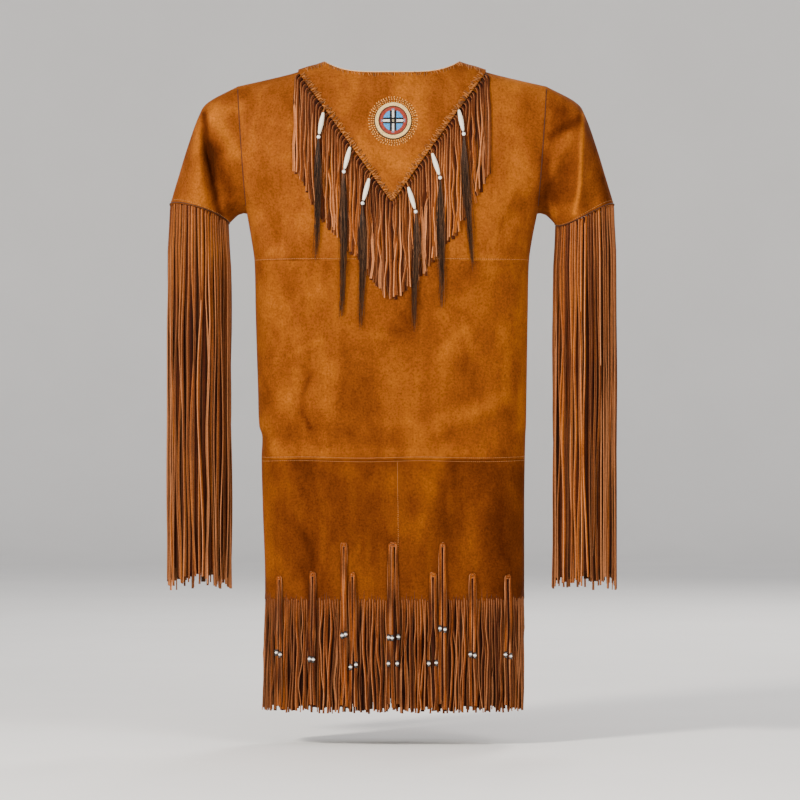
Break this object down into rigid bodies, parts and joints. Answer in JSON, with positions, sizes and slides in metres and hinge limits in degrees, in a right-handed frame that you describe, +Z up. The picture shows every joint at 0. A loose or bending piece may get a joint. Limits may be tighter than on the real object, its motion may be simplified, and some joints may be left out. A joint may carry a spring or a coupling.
{
  "type": "fringe dress",
  "caption": "Hollow suede dress with short wide sleeves, a pointed beaded yoke, long sleeve fringe and a fringed hem.",
  "frame": {"origin": "on the line where the shoulders bear, midway between the sleeves and in the plane of the side seams", "axes": "+Z up, -Y out of the front, +X towards the picture's right"},
  "size_m": [0.7744, 0.2151, 1.1093],
  "materials": {
    "suede": "brushed suede",
    "fringe_suede": "brushed suede, cut in strips",
    "bone": "polished bone",
    "bead": "glossy",
    "horsehair": "natural hair",
    "beadwork": "rows of small glossy beads"
  },
  "bodies": {
    "root": {"front_bodice": "suede", "front_middle": "suede", "front_skirt_left": "suede", "front_skirt_right": "suede", "back_bodice": "suede", "back_middle": "suede", "back_skirt_left": "suede", "back_skirt_right": "suede", "sleeve_left": "suede", "sleeve_right": "suede", "yoke": "suede", "front_hem_fringe_left": "fringe_suede", "front_hem_fringe_right": "fringe_suede", "back_hem_fringe_left": "fringe_suede", "back_hem_fringe_right": "fringe_suede", "sleeve_fringe_left": "fringe_suede", "sleeve_fringe_right": "fringe_suede", "yoke_fringe": "fringe_suede", "lace_1": "fringe_suede", "lace_2": "fringe_suede", "lace_3": "fringe_suede", "lace_4": "fringe_suede", "lace_5": "fringe_suede", "lace_6": "fringe_suede", "lace_7": "fringe_suede", "lace_8": "fringe_suede", "lace_9": "fringe_suede", "bone_1": "bone", "bone_2": "bone", "bone_3": "bone", "bone_4": "bone", "bone_5": "bone", "bone_6": "bone", "bead_1": "bead", "bead_2": "bead", "bead_3": "bead", "bead_4": "bead", "bead_5": "bead", "bead_6": "bead", "hair_1": "horsehair", "hair_2": "horsehair", "hair_3": "horsehair", "hair_4": "horsehair", "hair_5": "horsehair", "hair_6": "horsehair", "rosette": "beadwork"}
  },
  "joints": []
}
